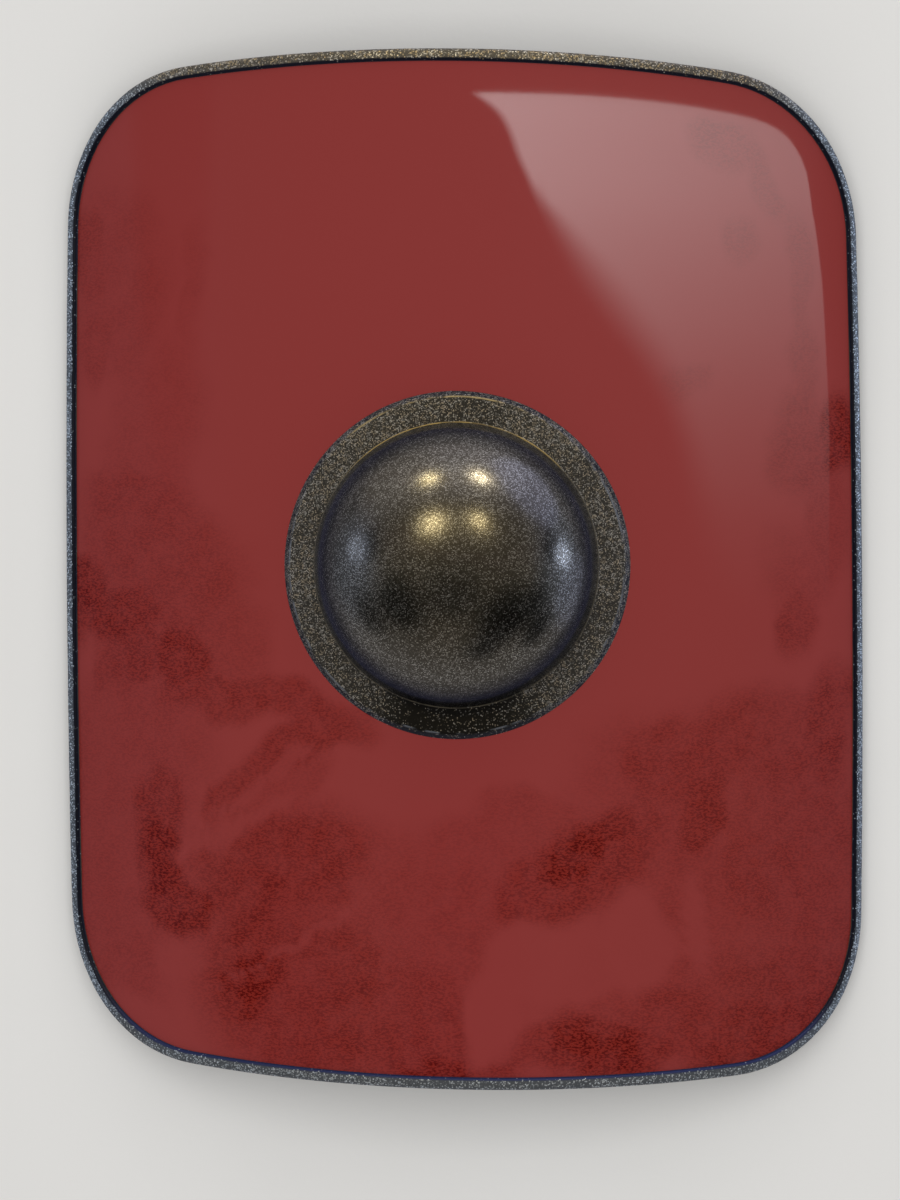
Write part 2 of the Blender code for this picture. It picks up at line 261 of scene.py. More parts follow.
SOFTBOX_DIMMER_RIGHT = 0.50         # share of the brightness lost from its left end to its right end
SOFTBOX_DIMMER_START = 0.05
SOFTBOX_DIMMER_LENGTH = 0.27
SOFTBOX_DISTANCE = 1.2
SOFTBOX_ROW_STEPS = 5
SOFTBOX_COLUMNS = 48
SOFTBOX_CROWDING = 1.5              # how much closer its columns stand towards the right
SOFTBOX_STRENGTH = 13.4

# Lamps mirrored in the dome
WARM = (1.0, 0.84, 0.46)
COOL = (0.62, 0.74, 1.0)
DOME_LAMPS = (
    # (name, where it is seen in metres from the boss's middle, size, brightness, colour)
    ("lamp_upper_left", (-0.0174, 0.0681), (0.30, 0.30), 17.5, WARM),
    ("lamp_upper_right", (0.0232, 0.0697), (0.28, 0.28), 31.0, (1.0, 0.88, 0.62)),
    ("lamp_lower_left", (-0.0140, 0.0330), (0.42, 0.42), 10.2, WARM),
    ("lamp_lower_right", (0.0225, 0.0347), (0.24, 0.24), 19.5, WARM),
    ("window_left", (-0.0755, 0.0130), (0.60, 1.10), 1.1, COOL),
    ("window_right", (0.0890, 0.0080), (0.50, 0.90), 3.6, COOL),
    ("sky_upper_right", (0.0620, 0.0620), (2.20, 2.20), 0.60, (0.50, 0.58, 1.0)),
    ("sky_right", (0.0960, -0.0200), (1.60, 2.00), 0.32, (0.55, 0.65, 1.0)),
)
DOME_LAMP_DISTANCE = 2.5

# Dark things mirrored in the dome
DOME_SHADES = (
    # (where it is seen, reach in degrees at full and at its end, colour)
    ((-0.0411, -0.0320), 8, 21, (0.000, 0.000, 0.000)),
    ((-0.0655, -0.0395), 5, 18, (0.026, 0.025, 0.026)),
    ((0.0447, -0.0420), 11, 25, (0.000, 0.000, 0.000)),
    ((0.0680, -0.0283), 4, 16, (0.020, 0.020, 0.024)),
    ((0.0252, -0.0673), 3, 14, (0.020, 0.020, 0.024)),
    ((0.0685, -0.0510), 5, 17, (0.012, 0.012, 0.016)),
    ((0.0020, -0.0244), 4, 18, (0.048, 0.043, 0.036)),
    ((-0.0640, 0.0166), 6, 11, (0.000, 0.000, 0.002)),
    ((0.0785, 0.0170), 6, 11, (0.000, 0.000, 0.002)),
    ((-0.0790, 0.0480), 2, 12, (0.150, 0.150, 0.160)),
)
DOME_SLOPE_STEP = 0.001             # how far apart places are compared to find the dome's slope

# The studio's background, seen only as a shine, and the places of it that differ
SHINE_AROUND = (0.40, 0.39, 0.39)
SHINE_PLACES = (
    # (direction in the camera's axes, reach in degrees at full and at its end, colour)
    ((0.00, 0.00, 1.00), 20, 95, (0.215, 0.185, 0.142)),
    ((0.00, 0.98, 0.20), 10, 50, (0.68, 0.66, 0.69)),
    ((-0.64, 0.75, 0.18), 10, 35, (0.50, 0.47, 0.44)),
    ((0.99, 0.00, 0.14), 10, 40, (0.26, 0.29, 0.36)),
    ((-0.99, 0.00, 0.14), 10, 40, (0.26, 0.29, 0.36)),
    ((0.00, 0.00, -1.00), 45, 92, (0.060, 0.062, 0.11)),
)
SKY_LIGHT = (0.65, 0.65, 0.65)      # even light from all round, on all pieces
BACKDROP = (0.72, 0.71, 0.70)
FLOOR_RADIUS = 30.0

# Soft lamps that don't show, as (place from the middle of the face, size, brightness)
OVERHEAD_LAMP = ((0.0, 0.3, 3.0), (2.4, 2.4), 2.5)
KEY_LAMP = ((0.1, 2.2, 1.9), (1.2, 1.2), 3.2)


# The flat layout and its bend, as in the CAD source

def arc_points(centre, radius, start, end, steps):
    """Points on an arc, its last point left out."""
    return [
        (
            centre[0] + radius * math.cos(start + (end - start) * i / steps),
            centre[1] + radius * math.sin(start + (end - start) * i / steps),
        )
        for i in range(steps)
    ]


def rounded_corner(centre, radius, start, end):
    """Points on a small arc, its last point included."""
    last = (centre[0] + radius * math.cos(end), centre[1] + radius * math.sin(end))
    return arc_points(centre, radius, start, end, ROUND_STEPS) + [last]


def corner_centre():
    """Centre of the upper right corner's arc, touching the top bow and the side bow."""
    top = (0.0, SHIELD_HEIGHT / 2 - TOP_BOW_RADIUS)
    side = (SHIELD_WIDTH / 2 - SIDE_BOW_RADIUS, 0.0)
    reach_top = TOP_BOW_RADIUS - CORNER_RADIUS
    reach_side = SIDE_BOW_RADIUS - CORNER_RADIUS
    apart = math.dist(top, side)
    along = (reach_top**2 - reach_side**2 + apart**2) / (2 * apart)
    across = math.sqrt(reach_top**2 - along**2)
    ux = (side[0] - top[0]) / apart
    uy = (side[1] - top[1]) / apart
    choices = [
        (top[0] + along * ux - turn * across * uy, top[1] + along * uy + turn * across * ux)
        for turn in (1, -1)
    ]
    return max(choices)


def outline(inset):
    """Closed flat outline (u, v), counter-clockwise, this far inside the rim's outer edge."""
    corner = corner_centre()
    top = (0.0, SHIELD_HEIGHT / 2 - TOP_BOW_RADIUS)
    side = (SHIELD_WIDTH / 2 - SIDE_BOW_RADIUS, 0.0)
    side_turn = math.atan2(corner[1] - side[1], corner[0] - side[0])
    top_turn = math.atan2(corner[1] - top[1], corner[0] - top[0])
    quarter = arc_points(side, SIDE_BOW_RADIUS - inset, 0.0, side_turn, SIDE_STEPS)
    quarter += arc_points(corner, CORNER_RADIUS - inset, side_turn, top_turn, CORNER_STEPS)
    quarter += arc_points(top, TOP_BOW_RADIUS - inset, top_turn, math.pi / 2, BOW_STEPS)
    top_middle = (0.0, SHIELD_HEIGHT / 2 - inset)
    mirrored = [(-u, v) for u, v in reversed(quarter[1:])]
    upper_half = quarter + [top_middle] + mirrored
    lower_half = [(-u, -v) for u, v in upper_half]
    return [(u + OUT_OF_SQUARE * v, v + OUT_OF_SQUARE * u) for u, v in upper_half + lower_half]


def bend(u, v, n):
    """Place of a point of the flat layout on the bent shield."""
    angle = u / BEND_RADIUS
    radius = BEND_RADIUS + n
    return Vector((radius * math.sin(angle), v, FACE_LEVEL + radius * math.cos(angle) - BEND_RADIUS))


def bent_level(x, n):
    """Height over the ground at x of a layer that is n above the bent face."""
    return FACE_LEVEL + math.sqrt((BEND_RADIUS + n) ** 2 - x**2) - BEND_RADIUS


def smooth_step(low, high, value):
    """From 0 at low to 1 at high, which may be the smaller of the two."""
    share = min(1.0, max(0.0, (value - low) / (high - low)))
    return share * share * (3 - 2 * share)


# Meshes

def loft(rows, closed):
    """Skin closed rows of (place, paint) pairs; paint is a dict of values kept on the vertex."""
    mesh_data = bmesh.new()
    names = rows[0][0][1].keys()
    layers = {name: mesh_data.verts.layers.float.new(name) for name in names}
    grid = []
    for row in rows:
        verts = []
        for place, paint in row:
            vert = mesh_data.verts.new(place)
            for name, layer in layers.items():
                vert[layer] = paint[name]
            verts.append(vert)
        grid.append(verts)
    pairs = list(zip(grid, grid[1:]))
    if closed:
        pairs.append((grid[-1], grid[0]))
    for first, second in pairs:
        for i in range(len(first)):
            j = (i + 1) % len(first)
            mesh_data.faces.new((first[i], first[j], second[j], second[i]))
    return mesh_data, grid


def add_object(name, mesh_data, materials):
    """An object of the scene, made from mesh data."""
    mesh = bpy.data.meshes.new(name)
    mesh_data.to_mesh(mesh)
    mesh_data.free()
    for material in materials:
        mesh.materials.append(material)
    added = bpy.data.objects.new(name, mesh)
    bpy.context.scene.collection.objects.link(added)
    return added


def add_piece(name, mesh_data, materials, node):
    """Make a piece that rides on the frame in a CAD node's place."""
    bmesh.ops.recalc_face_normals(mesh_data, faces=mesh_data.faces[:])
    piece = add_object(name, mesh_data, materials)
    piece.data.shade_smooth()
    piece.data.set_sharp_from_angle(angle=SHARP_EDGE)
    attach(piece, "root")
    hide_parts(node)
    return piece


def away_from(place, patch):
    """How far a place is from a patch's middle, 1 being the edge of its ellipse."""
    (middle_u, middle_v), (half_u, half_v), tilt = patch[:3]
    turn = math.radians(tilt)
    along = (place[0] - middle_u) * math.cos(turn) + (place[1] - middle_v) * math.sin(turn)
    across = (place[1] - middle_v) * math.cos(turn) - (place[0] - middle_u) * math.sin(turn)
    return math.hypot(along / half_u, across / half_v)


def wander(u, v, levels):
    """How far an outline strays at a place of the layout, its noise read at a level for each wave."""
    stray = 0.0
    for (waves, reach), level in zip(WEAR_WANDER, levels):
        stray += reach * noise.noise((u * waves, v * waves, level))
    return stray


def wear_at(u, v):
    """How worn and grained the red skin is at a place of the layout, from 0 to 1."""
    place = (u + wander(u, v, (3.1, 7.7)), v + wander(u, v, (8.4, 2.6)))
    wear = 0.0
    for patch in WORN_PATCHES:
        wear = max(wear, patch[3] * smooth_step(*PATCH_FADE, away_from(place, patch)))
    for stroke in CLEAN_STROKES:
        wear *= 1 - stroke[3] * smooth_step(*STROKE_FADE, away_from(place, stroke))
    return wear


def hand_hole(edge):
    """The hand hole's outline in the layout, a point for each one of the board's edge."""
    hole = []
    for u, v in edge:
        reach = math.hypot(u, v - BOSS_RISE)
        around = (u / reach, (v - BOSS_RISE) / reach)
        hole.append((around[0] * HAND_HOLE_RADIUS, BOSS_RISE + around[1] * HAND_HOLE_RADIUS))
    return hole


def ring_between(hole, edge, share):
    """A ring of the layout, this share of the way from the hand hole to the board's edge."""
    return [
        (hu + (eu - hu) * share, hv + (ev - hv) * share)
        for (hu, hv), (eu, ev) in zip(hole, edge)
    ]


def make_board():
    """The bent board as one closed skin: red front, rounded edge, dark back, hand hole's wall."""
    plain = {"wear": 0.0}
    edge = outline(RIM_WALL + GAP)
    inner_edge = outline(RIM_WALL + GAP + BOARD_EDGE_ROUND)
    hole = hand_hole(inner_edge)
    rows = []
    for i in range(FACE_RINGS + 1):
        ring = ring_between(hole, inner_edge, i / FACE_RINGS)
        rows.append([(bend(u, v, 0.0), {"wear": wear_at(u, v)}) for u, v in ring])
    front_rows = len(rows)
    for n in (-BOARD_EDGE_ROUND, BOARD_EDGE_ROUND - BOARD_THICKNESS):
        rows.append([(bend(u, v, n), plain) for u, v in edge])
    for i in range(BACK_RINGS, -1, -1):
        ring = ring_between(hole, inner_edge, i / BACK_RINGS)
        rows.append([(bend(u, v, -BOARD_THICKNESS), plain) for u, v in ring])
    mesh_data, grid = loft(rows, closed=True)
    front = {vert for row in grid[: front_rows + 1] for vert in row}
    for face in mesh_data.faces:
        face.material_index = 0 if all(vert in front for vert in face.verts) else 1
    return add_piece("board_skin", mesh_data, [red_skin(), dark_back()], "board")


def rim_section():
    """The rim's closed section as (inset, height n) points, with a channel that holds the board."""
    front = RIM_PROUD_FRONT
    back = -BOARD_THICKNESS - RIM_PROUD_BACK
    turn = math.pi / 2
    outer = (RIM_FRONT_ROUND, front - RIM_FRONT_ROUND)
    inner = (RIM_WIDTH - RIM_FRONT_ROUND, front - RIM_FRONT_ROUND)
    section = rounded_corner(outer, RIM_FRONT_ROUND, 2 * turn, turn)
    section += rounded_corner(inner, RIM_FRONT_ROUND, turn, 0.0)
    section.append((RIM_WIDTH, RIM_WALL_MIDDLE))
    section.append((RIM_WIDTH, GAP))
    section.append((RIM_WALL, GAP))
    section.append((RIM_WALL, -BOARD_THICKNESS - GAP))
    section.append((RIM_WIDTH, -BOARD_THICKNESS - GAP))
    low = back + RIM_BACK_ROUND
    section += rounded_corner((RIM_WIDTH - RIM_BACK_ROUND, low), RIM_BACK_ROUND, 0.0, -turn)
    section += rounded_corner((RIM_BACK_ROUND, low), RIM_BACK_ROUND, -turn, -2 * turn)
    return section


def rim_paint(inset, n, blue_sheen, low):
    """The edging is brushed light outside and on top, and left dark on its inner wall, which is partly
    painted shade.
    """
    brushed = RIM_BRUSHED_SIDE
    if n > 0.0:
        brushed = smooth_step(*RIM_BRUSHED_SPAN, inset / RIM_WIDTH + RIM_BRUSHED_SHIFT * blue_sheen)
    if n < -BOARD_THICKNESS:
        brushed = RIM_BRUSHED_BACK
    foot = 1.0 if inset == RIM_WIDTH and 0.0 < n <= RIM_WALL_TOP else 0.0
    return {"brushed": brushed, "foot": foot, "blue_sheen": blue_sheen, "low": low}


def make_rim():
    """The speckled edging, a little uneven on top, cut flat where it stands on the ground."""
    section = rim_section()
    edges = [outline(inset) for inset, n in section]
    rows = []
    for i in range(len(edges[0])):
        row = []
        outer_u, outer_v = edges[0][i]
        narrower = RIM_NARROWER_RIGHT * smooth_step(*RIM_NARROWER_SPAN, outer_u)
        # painted bluish sheen along the sides
        blue_sheen = smooth_step(*RIM_BLUE_SHEEN_SPAN, abs(outer_u))
        low = smooth_step(*RIM_LOW_SPAN, outer_v)
        for edge, (inset, n) in zip(edges, section):
            u, v = edge[i]
            if inset > RIM_WALL and n > 0.0:
                u += narrower * (inset - RIM_WALL)
            wobble = 0.0
            if n > RIM_WALL_TOP:
                place = (u * RIM_WOBBLE_WAVES, v * RIM_WOBBLE_WAVES, n * RIM_WOBBLE_WAVES)
                wobble = RIM_WOBBLE * noise.noise(place)
            row.append((bend(u, v, n + wobble), rim_paint(inset, n, blue_sheen, low)))
        rows.append(row)
    mesh_data = loft(rows, closed=True)[0]
    cut = bmesh.ops.bisect_plane(
        mesh_data,
        geom=mesh_data.verts[:] + mesh_data.edges[:] + mesh_data.faces[:],
        dist=0.00001,
        plane_co=(0.0, 0.0, 0.0),
        plane_no=(0.0, 0.0, 1.0),
        clear_inner=True,
    )
    cut_edges = [item for item in cut["geom_cut"] if isinstance(item, bmesh.types.BMEdge)]
    bmesh.ops.holes_fill(mesh_data, edges=cut_edges)
    return add_piece("rim_edging", mesh_data, [speckled_rim()], "rim")


def dome_profile(radius, height, base, steps):
    """Points (radius, height) up a full dome from its foot to just below its crown."""
    power = 2 / DOME_FULLNESS
    points = []
    for i in range(steps):
        turn = math.pi / 2 * i / steps
        points.append((radius * math.cos(turn) ** power, base + height * math.sin(turn) ** power))
    return points


def boss_profile():
    """Rows (radius, n, paint) from the crown outside, over the flange, to the crown inside."""
    flange = BOSS_FLANGE_THICKNESS
    rows = []
    for radius, n in reversed(dome_profile(DOME_RADIUS, DOME_HEIGHT, flange, DOME_STEPS)[1:]):
        rows.append((radius, n, {"dome": 1.0}))
    for i, (height, foot) in enumerate(FOOT_BEAD):
        radius = FOOT_BEAD_START + FOOT_BEAD_HALF * i / 2
        rows.append((radius, flange + height * FOOT_BEAD_HEIGHT, {"foot": foot}))
    edge_top = BOSS_RADIUS - BOSS_EDGE_SLOPE
    start = DOME_RADIUS + 2 * FOOT_BEAD_HALF
    flat_end = edge_top - BOSS_EDGE_ROUND
    for i in range(1, FLANGE_STEPS + 1):
        rows.append((start + (flat_end - FLANGE_EDGE_BLEND - start) * i / FLANGE_STEPS, flange, {}))
    rows.append((flat_end, flange, {"edge": 1.0}))
    for i in range(1, FLANGE_ROUND_STEPS + 1):
        turn = math.pi / 2 * i / FLANGE_ROUND_STEPS
        radius = edge_top - BOSS_EDGE_ROUND * (1 - math.sin(turn))
        n = flange - BOSS_EDGE_ROUND * (1 - math.cos(turn))
        rows.append((radius, n, {"edge": max(0.0, 1.0 - EDGE_LINE_FADE * i)}))
    # The flange's outer wall, painted darker as shade
    rows.append((edge_top + 0.15 * BOSS_EDGE_SLOPE, flange - 1.3 * BOSS_EDGE_ROUND, {"side": 1.0}))
    rows.append((edge_top + 0.60 * BOSS_EDGE_SLOPE, 0.45 * flange, {"side": 1.0}))
    rows.append((BOSS_RADIUS - FLANGE_FOOT_INSET, 0.1 * flange, {"side": 1.0}))
    inner = DOME_RADIUS - DOME_WALL
    for i in range(BOSS_BACK_STEPS + 1):
        radius = BOSS_RADIUS - (BOSS_RADIUS - inner) * i / BOSS_BACK_STEPS
        rows.append((radius, GAP, {"wall": 1.0}))
    for radius, n in dome_profile(inner, DOME_HEIGHT - DOME_WALL, flange, DOME_STEPS // 2):
        rows.append((radius, n, {"wall": 1.0}))
    return rows


def boss_place(radius, n, turn):
    """The flange follows the bent board; the dome loses that bend towards its crown."""
    x = radius * math.cos(turn)
    y = BOSS_RISE + radius * math.sin(turn)
    follow = 1 - max(0.0, n - BOSS_FLANGE_THICKNESS) / DOME_HEIGHT
    return Vector((x, y, follow * bent_level(x, n) + (1 - follow) * (FACE_LEVEL + n)))


def boss_paint(radius, turn, paint):
    """All the paint values at a place of the boss; the painted shade band at the dome's foot is widest low
    down.
    """
    dome = paint.get("dome", 0.0)
    # Painted shade band at the dome's foot, standing in for the dark reflections of its steep wall
    shade_band_start = SHADE_BAND_START + SHADE_BAND_START_SWING * math.sin(turn)
    shade_band = (SHADE_BAND_DEPTH - SHADE_BAND_DEPTH_SWING * math.sin(turn)) * dome
    # Painted shade on the flange: deepest at the bottom under the dome, lighter at the top
    from_bottom = abs((turn + 1.5 * math.pi) % math.tau - math.pi)
    flange_shade = smooth_step(*FLANGE_SHADE_TOP_SPAN, math.pi - from_bottom) * FLANGE_SHADE_TOP
    flange_shade += smooth_step(*FLANGE_SHADE_BOTTOM_SPAN, from_bottom)
    return {
        "dome": dome,
        "shade_band": shade_band * smooth_step(shade_band_start, 1.0, radius / DOME_RADIUS),
        "flange_shade": flange_shade * (1 - dome),
        "foot": paint.get("foot", 0.0),
        "edge": paint.get("edge", 0.0),
        "side": paint.get("side", 0.0),
        "wall": paint.get("wall", 0.0),
        # painted bluish sheen towards the left and right
        "blue_sheen": abs(math.cos(turn)),
        # painted warm glint along the top
        "top_glint": smooth_step(*TOP_GLINT_SPAN, math.sin(turn)),
    }


def make_boss():
    """The flange and the hollow dome as one closed skin, its underside and inside painted dark."""
    rows = []
    for radius, n, paint in boss_profile():
        row = []
        for i in range(BOSS_STEPS):
            turn = 2 * math.pi * i / BOSS_STEPS
            row.append((boss_place(radius, n, turn), boss_paint(radius, turn, paint)))
        rows.append(row)
    mesh_data, grid = loft(rows, closed=False)
    layers = mesh_data.verts.layers.float
    crown_n = BOSS_FLANGE_THICKNESS + DOME_HEIGHT
    crown = mesh_data.verts.new((0.0, BOSS_RISE, FACE_LEVEL + crown_n))
    crown[layers["dome"]] = 1.0
    crown_inside = mesh_data.verts.new((0.0, BOSS_RISE, FACE_LEVEL + crown_n - DOME_WALL))
    crown_inside[layers["wall"]] = 1.0
    for i in range(BOSS_STEPS):
        j = (i + 1) % BOSS_STEPS
        mesh_data.faces.new((crown, grid[0][i], grid[0][j]))
        mesh_data.faces.new((crown_inside, grid[-1][j], grid[-1][i]))
    for face in mesh_data.faces:
        inside = all(vert[layers["wall"]] == 1.0 for vert in face.verts)
        face.material_index = 1 if inside else 0
    return add_piece("boss_shell", mesh_data, [speckled_boss(), dark_boss()], "boss")


def grip_section(x, half_width, low, high, rounding):
    """The grip's rounded section at x, as (place, paint) pairs."""
    turn = math.pi / 2
    side = half_width - rounding
    points = rounded_corner((side, high - rounding), rounding, 0.0, turn)
    points += rounded_corner((-side, high - rounding), rounding, turn, 2 * turn)
    points += rounded_corner((-side, low + rounding), rounding, 2 * turn, 3 * turn)
    points += rounded_corner((side, low + rounding), rounding, 3 * turn, 4 * turn)
    held = {"held": 1.0 if rounding > GRIP_HELD_ROUND else 0.0}
    return [(Vector((x, BOSS_RISE + y, z)), held) for y, z in points]


def make_grip():
    """The leather-covered bar across the hand hole."""
    seat = -BOARD_THICKNESS - GAP
    pad_half = GRIP_PAD_WIDTH / 2
    hole_edge = bend(math.sqrt(HAND_HOLE_RADIUS**2 - pad_half**2), pad_half, -BOARD_THICKNESS).x
    pad_start = hole_edge - GRIP_NECK_CLEARANCE
    hold_end = pad_start - GRIP_NECK_LENGTH
    grip_end = pad_start + GRIP_PAD_LENGTH
    back = bent_level(grip_end, seat) - GRIP_END_THICKNESS
    hold_top = back + GRIP_HOLD_THICKNESS
    hold_half = GRIP_HOLD_WIDTH / 2
    right_half = []
    for i in range(GRIP_BAR_STEPS + 1):
        x = hold_end * i / GRIP_BAR_STEPS
        right_half.append(grip_section(x, hold_half, back, hold_top, GRIP_HOLD_ROUND))
    for i in range(1, GRIP_NECK_STEPS):
        share = smooth_step(0, 1, i / GRIP_NECK_STEPS)
        x = hold_end + GRIP_NECK_LENGTH * i / GRIP_NECK_STEPS
        half = hold_half + (pad_half - hold_half) * share
        high = hold_top + (bent_level(pad_start, seat) - hold_top) * i / GRIP_NECK_STEPS
        rounding = GRIP_HOLD_ROUND + (GRIP_PAD_ROUND - GRIP_HOLD_ROUND) * share
        right_half.append(grip_section(x, half, back, high, rounding))
    pad = [
        (pad_start + (GRIP_PAD_LENGTH - GRIP_END_ROUND) * i / GRIP_BAR_STEPS, pad_half)
        for i in range(GRIP_BAR_STEPS + 1)
    ]
    for i in range(1, GRIP_END_STEPS + 1):
        turn = math.pi / 2 * i / GRIP_END_STEPS
        x = grip_end - GRIP_END_ROUND * (1 - math.sin(turn))
        pad.append((x, pad_half - GRIP_END_ROUND * (1 - math.cos(turn))))
    for x, half in pad:
        rounding = min(GRIP_PAD_ROUND, GRIP_ROUND_SHARE * (bent_level(x, seat) - back))
        right_half.append(grip_section(x, half, back, bent_level(x, seat), rounding))
    left_half = []
    for ring in reversed(right_half[1:]):
        left_half.append([(Vector((-place.x, place.y, place.z)), paint) for place, paint in ring])
    mesh_data, grid = loft(left_half + right_half, closed=False)
    mesh_data.faces.new(grid[0])
    mesh_data.faces.new(grid[-1])
    return add_piece("grip_leather", mesh_data, [grip_leather()], "grip")


# Shader nodes

class Nodes:
    """A tree's nodes, added with short calls."""

    def __init__(self, tree):
        self.tree = tree

    def link(self, value, socket):
        if isinstance(value, bpy.types.NodeSocket):
            self.tree.links.new(value, socket)
        else:
            socket.default_value = value

    def math(self, operation, a, b, clamp=False):
        node = self.tree.nodes.new("ShaderNodeMath")
        node.operation = operation
        node.use_clamp = clamp
        self.link(a, node.inputs[0])
        self.link(b, node.inputs[1])
        return node.outputs[0]

    def ramp(self, value, low, high, start=0.0, end=1.0):
        node = self.tree.nodes.new("ShaderNodeMapRange")
        node.interpolation_type = "SMOOTHSTEP"
        self.link(value, node.inputs["Value"])
        self.link(low, node.inputs["From Min"])
        self.link(high, node.inputs["From Max"])
        self.link(start, node.inputs["To Min"])
        self.link(end, node.inputs["To Max"])
        return node.outputs["Result"]

    def mix(self, share, a, b):
        node = self.tree.nodes.new("ShaderNodeMix")
        node.data_type = "RGBA"
        self.link(share, node.inputs["Factor"])
        self.link(a if isinstance(a, bpy.types.NodeSocket) else (*a, 1.0), node.inputs["A"])
        self.link(b if isinstance(b, bpy.types.NodeSocket) else (*b, 1.0), node.inputs["B"])
        return node.outputs["Result"]

    def painted(self, name):
        node = self.tree.nodes.new("ShaderNodeAttribute")
        node.attribute_name = name
        return node.outputs["Fac"]


class MaterialNodes(Nodes):
    """One material's nodes, its patterns laid out in the object's own space."""

    def __init__(self, name):
        self.material = bpy.data.materials.new(name)
        self.material.use_nodes = True
        super().__init__(self.material.node_tree)
        self.shader = self.tree.nodes["Principled BSDF"]
        self.place = self.tree.nodes.new("ShaderNodeTexCoord").outputs["Object"]

    def noise(self, scale, detail=2.0, roughness=0.5, place=None):
        node = self.tree.nodes.new("ShaderNodeTexNoise")
        self.link(place or self.place, node.inputs["Vector"])
        node.inputs["Scale"].default_value = scale
        node.inputs["Detail"].default_value = detail
        node.inputs["Roughness"].default_value = roughness
        return node.outputs["Fac"]

    def stretched(self, x, y, z):
        """The place with each axis drawn out by a factor, for a pattern finer along one of them."""
        node = self.tree.nodes.new("ShaderNodeMapping")
        self.link(self.place, node.inputs["Vector"])
        node.inputs["Scale"].default_value = (x, y, z)
        return node.outputs["Vector"]

    def cells(self, scale):
        node = self.tree.nodes.new("ShaderNodeTexVoronoi")
        self.link(self.place, node.inputs["Vector"])
        node.inputs["Scale"].default_value = scale
        return node.outputs["Distance"]

    def flecks(self, scale):
        """Distance to the nearest cell's middle, and a number from 0 to 1 that is the cell's own."""
        distance = self.cells(scale)
        split = self.tree.nodes.new("ShaderNodeSeparateColor")
        self.link(distance.node.outputs["Color"], split.inputs["Color"])
        return distance, split.outputs["Red"]

    def bump(self, height, distance, strength):
        node = self.tree.nodes.new("ShaderNodeBump")
        self.link(strength, node.inputs["Strength"])
        node.inputs["Distance"].default_value = distance
        self.link(height, node.inputs["Height"])
        return node.outputs["Normal"]

    def finish(self, colour, roughness, normal, metallic=0.0, coat=0.0, shine=0.5):
        """Feed the shader; coat is a clear gloss on top, shine the paint's own gloss."""
        inputs = self.shader.inputs
        self.link(colour, inputs["Base Color"])
        self.link(roughness, inputs["Roughness"])
        self.link(metallic, inputs["Metallic"])
        self.link(normal, inputs["Normal"])
        inputs["Coat Weight"].default_value = coat
        inputs["Coat Roughness"].default_value = 0.03
        inputs["Specular IOR Level"].default_value = shine
        return self.material


# Materials

def red_skin():
    """Red latex skin under a clear gloss, with a leather grain that shows where it is worn."""
    nodes = MaterialNodes("red_skin")
    wear = nodes.painted("wear")
    mottle = nodes.ramp(nodes.noise(45, 5.0, 0.65), 0.32, 0.68, 0.72, 1.20)
    worn = nodes.math("MULTIPLY", wear, mottle, clamp=True)
    grain = nodes.noise(380, 2.0, 0.55, nodes.stretched(1.0, 1.9, 1.0))
    clean_red = (0.2240, 0.0320, 0.0300)
    crease_red = (0.072, 0.0014, 0.0014)
    ridge_red = (0.180, 0.0140, 0.0095)
    worn_red = nodes.mix(nodes.ramp(grain, 0.39, 0.58), crease_red, ridge_red)
    colour = nodes.mix(worn, clean_red, worn_red)
    roughness = nodes.ramp(worn, 0.0, 1.0, 0.45, 0.62)
    height = nodes.math("MULTIPLY", grain, nodes.ramp(worn, 0.0, 0.8, 0.03, 1.0))
    normal = nodes.bump(height, 0.0004, 0.7)
    return nodes.finish(colour, roughness, normal, coat=0.35, shine=0.02)


def dark_back():
    """Plain black latex over the foam, a little uneven from the brush."""
    nodes = MaterialNodes("dark_back")
    streaks = nodes.noise(26, 4.0, 0.6)
    colour = nodes.mix(streaks, (0.012, 0.011, 0.011), (0.028, 0.026, 0.025))
    height = nodes.math("ADD", nodes.noise(350, 2.0), nodes.math("MULTIPLY", streaks, 2.0))
    roughness = nodes.ramp(streaks, 0.2, 0.8, 0.45, 0.62)
    return nodes.finish(colour, roughness, nodes.bump(height, 0.0003, 0.6))


def flecked(nodes, dark, share, metal, scale):
    """Fine bright flecks on a dark paint; share is how many of them are bright, scale how fine."""
    distance, chance = nodes.flecks(scale)
    dot = nodes.ramp(distance, 0.75, 0.28)
    bright = nodes.ramp(chance, nodes.math("SUBTRACT", 0.95, share), 1.05)
    fleck = nodes.math("MULTIPLY", dot, bright)
    return nodes.mix(fleck, dark, metal), fleck


